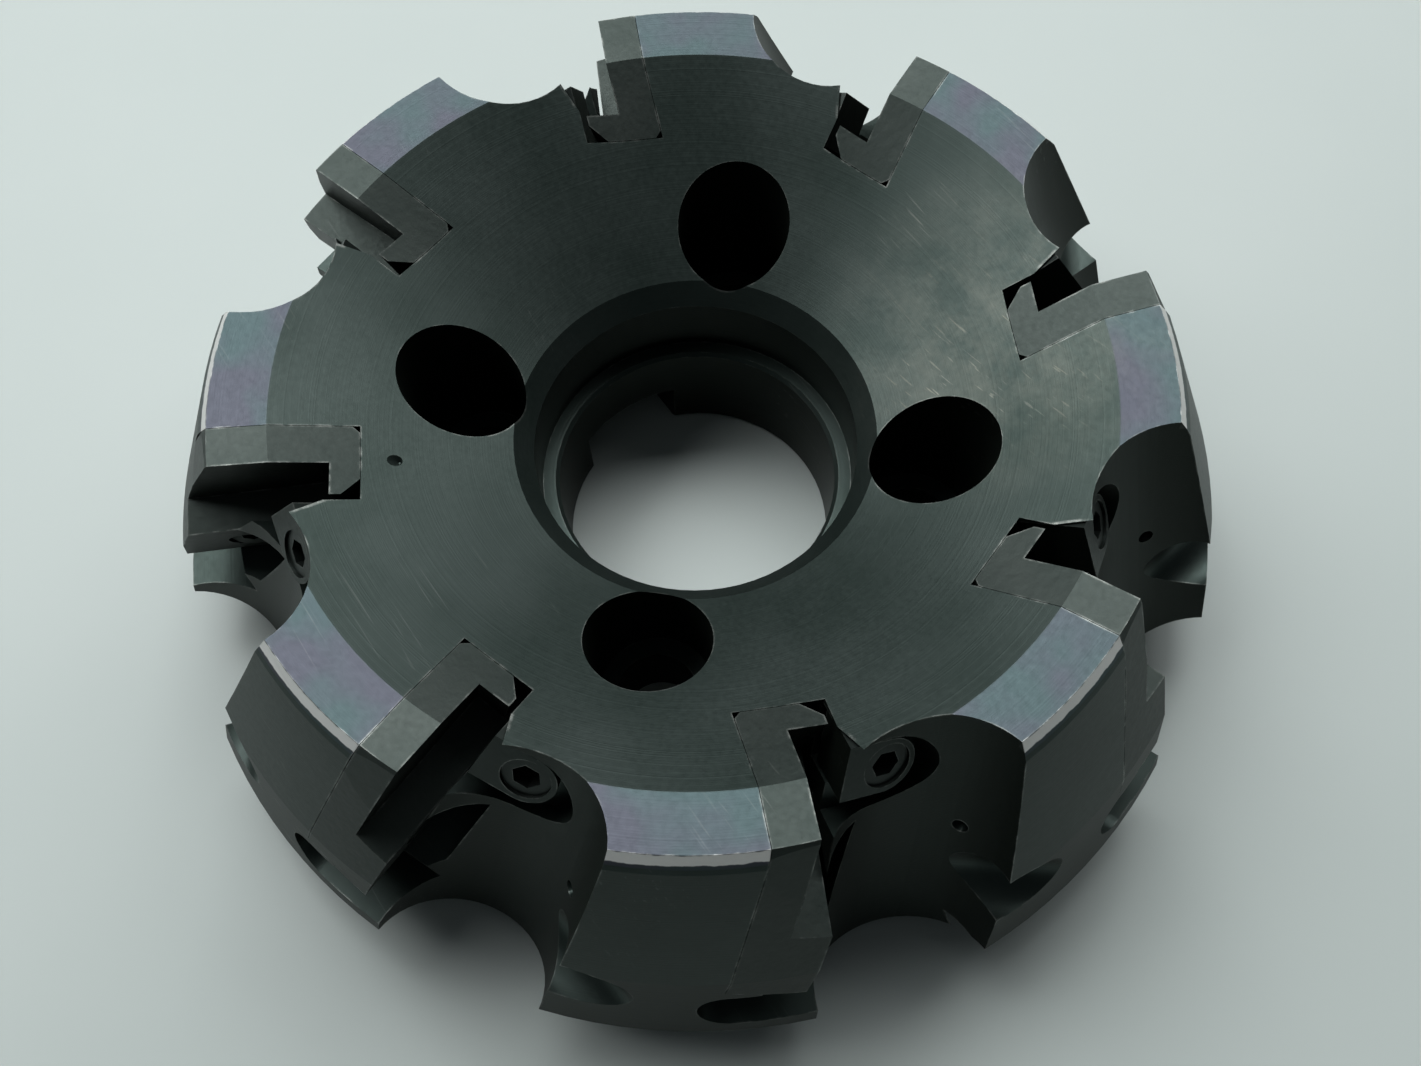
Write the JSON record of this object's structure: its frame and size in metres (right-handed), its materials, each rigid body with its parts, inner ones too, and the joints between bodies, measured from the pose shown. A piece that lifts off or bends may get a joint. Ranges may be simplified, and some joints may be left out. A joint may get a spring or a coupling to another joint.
{
  "type": "face_mill",
  "caption": "Steel shell face mill with a dished face, a ring of L-shaped insert nests held by screws, angled clamping wedges, a pilot bore, drive key slots and counterbored bolt holes",
  "frame": {"origin": "centre of the back face, on the spindle axis", "axes": "+Z along the spindle axis toward the cutting face, +X along the drive key slots"},
  "size_m": [0.2388, 0.2388, 0.0744],
  "materials": {
    "body_steel": "semi-gloss",
    "nest_steel": "semi-gloss",
    "wedge_steel": "satin",
    "screw_steel": "satin"
  },
  "bodies": {
    "cutter": {"cutter_body": "body_steel", "nest_1": "nest_steel", "nest_2": "nest_steel", "nest_3": "nest_steel", "nest_4": "nest_steel", "nest_5": "nest_steel", "nest_6": "nest_steel", "nest_7": "nest_steel", "nest_8": "nest_steel", "nest_screw_1": "screw_steel", "nest_screw_2": "screw_steel", "nest_screw_3": "screw_steel", "nest_screw_4": "screw_steel", "nest_screw_5": "screw_steel", "nest_screw_6": "screw_steel", "nest_screw_7": "screw_steel", "nest_screw_8": "screw_steel"},
    "wedge_1": {"wedge_1": "wedge_steel"},
    "wedge_screw_1": {"wedge_screw_1": "screw_steel"},
    "wedge_2": {"wedge_2": "wedge_steel"},
    "wedge_screw_2": {"wedge_screw_2": "screw_steel"},
    "wedge_3": {"wedge_3": "wedge_steel"},
    "wedge_screw_3": {"wedge_screw_3": "screw_steel"},
    "wedge_4": {"wedge_4": "wedge_steel"},
    "wedge_screw_4": {"wedge_screw_4": "screw_steel"},
    "wedge_5": {"wedge_5": "wedge_steel"},
    "wedge_screw_5": {"wedge_screw_5": "screw_steel"},
    "wedge_6": {"wedge_6": "wedge_steel"},
    "wedge_screw_6": {"wedge_screw_6": "screw_steel"},
    "wedge_7": {"wedge_7": "wedge_steel"},
    "wedge_screw_7": {"wedge_screw_7": "screw_steel"},
    "wedge_8": {"wedge_8": "wedge_steel"},
    "wedge_screw_8": {"wedge_screw_8": "screw_steel"}
  },
  "joints": [
    {"name": "wedge_screw_turn_1", "type": "hinge", "parent": "cutter", "child": "wedge_screw_1", "pos_m": [0.07008, 0.04797, 0.0628], "axis": [0.6385, 0.5851, 0.5], "range_deg": [-180, 720]},
    {"name": "wedge_slide_1", "type": "slide", "parent": "cutter", "child": "wedge_1", "axis": [0.6385, 0.5851, 0.5], "range_m": [-0.0015, 0.006]},
    {"name": "wedge_screw_turn_2", "type": "hinge", "parent": "cutter", "child": "wedge_screw_2", "pos_m": [0.01563, 0.08347, 0.0628], "axis": [0.0378, 0.8652, 0.5], "range_deg": [-180, 720]},
    {"name": "wedge_slide_2", "type": "slide", "parent": "cutter", "child": "wedge_2", "axis": [0.0378, 0.8652, 0.5], "range_m": [-0.0015, 0.006]},
    {"name": "wedge_screw_turn_3", "type": "hinge", "parent": "cutter", "child": "wedge_screw_3", "pos_m": [-0.04797, 0.07008, 0.0628], "axis": [-0.5851, 0.6385, 0.5], "range_deg": [-180, 720]},
    {"name": "wedge_slide_3", "type": "slide", "parent": "cutter", "child": "wedge_3", "axis": [-0.5851, 0.6385, 0.5], "range_m": [-0.0015, 0.006]},
    {"name": "wedge_screw_turn_4", "type": "hinge", "parent": "cutter", "child": "wedge_screw_4", "pos_m": [-0.08347, 0.01563, 0.0628], "axis": [-0.8652, 0.0378, 0.5], "range_deg": [-180, 720]},
    {"name": "wedge_slide_4", "type": "slide", "parent": "cutter", "child": "wedge_4", "axis": [-0.8652, 0.0378, 0.5], "range_m": [-0.0015, 0.006]},
    {"name": "wedge_screw_turn_5", "type": "hinge", "parent": "cutter", "child": "wedge_screw_5", "pos_m": [-0.07008, -0.04797, 0.0628], "axis": [-0.6385, -0.5851, 0.5], "range_deg": [-180, 720]},
    {"name": "wedge_slide_5", "type": "slide", "parent": "cutter", "child": "wedge_5", "axis": [-0.6385, -0.5851, 0.5], "range_m": [-0.0015, 0.006]},
    {"name": "wedge_screw_turn_6", "type": "hinge", "parent": "cutter", "child": "wedge_screw_6", "pos_m": [-0.01563, -0.08347, 0.0628], "axis": [-0.0378, -0.8652, 0.5], "range_deg": [-180, 720]},
    {"name": "wedge_slide_6", "type": "slide", "parent": "cutter", "child": "wedge_6", "axis": [-0.0378, -0.8652, 0.5], "range_m": [-0.0015, 0.006]},
    {"name": "wedge_screw_turn_7", "type": "hinge", "parent": "cutter", "child": "wedge_screw_7", "pos_m": [0.04797, -0.07008, 0.0628], "axis": [0.5851, -0.6385, 0.5], "range_deg": [-180, 720]},
    {"name": "wedge_slide_7", "type": "slide", "parent": "cutter", "child": "wedge_7", "axis": [0.5851, -0.6385, 0.5], "range_m": [-0.0015, 0.006]},
    {"name": "wedge_screw_turn_8", "type": "hinge", "parent": "cutter", "child": "wedge_screw_8", "pos_m": [0.08347, -0.01563, 0.0628], "axis": [0.8652, -0.0378, 0.5], "range_deg": [-180, 720]},
    {"name": "wedge_slide_8", "type": "slide", "parent": "cutter", "child": "wedge_8", "axis": [0.8652, -0.0378, 0.5], "range_m": [-0.0015, 0.006]}
  ],
  "couplings": [
    {"joint": "wedge_screw_turn_1", "follows": "wedge_slide_1", "rad_per_m": 2094.4},
    {"joint": "wedge_screw_turn_2", "follows": "wedge_slide_2", "rad_per_m": 2094.4},
    {"joint": "wedge_screw_turn_3", "follows": "wedge_slide_3", "rad_per_m": 2094.4},
    {"joint": "wedge_screw_turn_4", "follows": "wedge_slide_4", "rad_per_m": 2094.4},
    {"joint": "wedge_screw_turn_5", "follows": "wedge_slide_5", "rad_per_m": 2094.4},
    {"joint": "wedge_screw_turn_6", "follows": "wedge_slide_6", "rad_per_m": 2094.4},
    {"joint": "wedge_screw_turn_7", "follows": "wedge_slide_7", "rad_per_m": 2094.4},
    {"joint": "wedge_screw_turn_8", "follows": "wedge_slide_8", "rad_per_m": 2094.4}
  ]
}
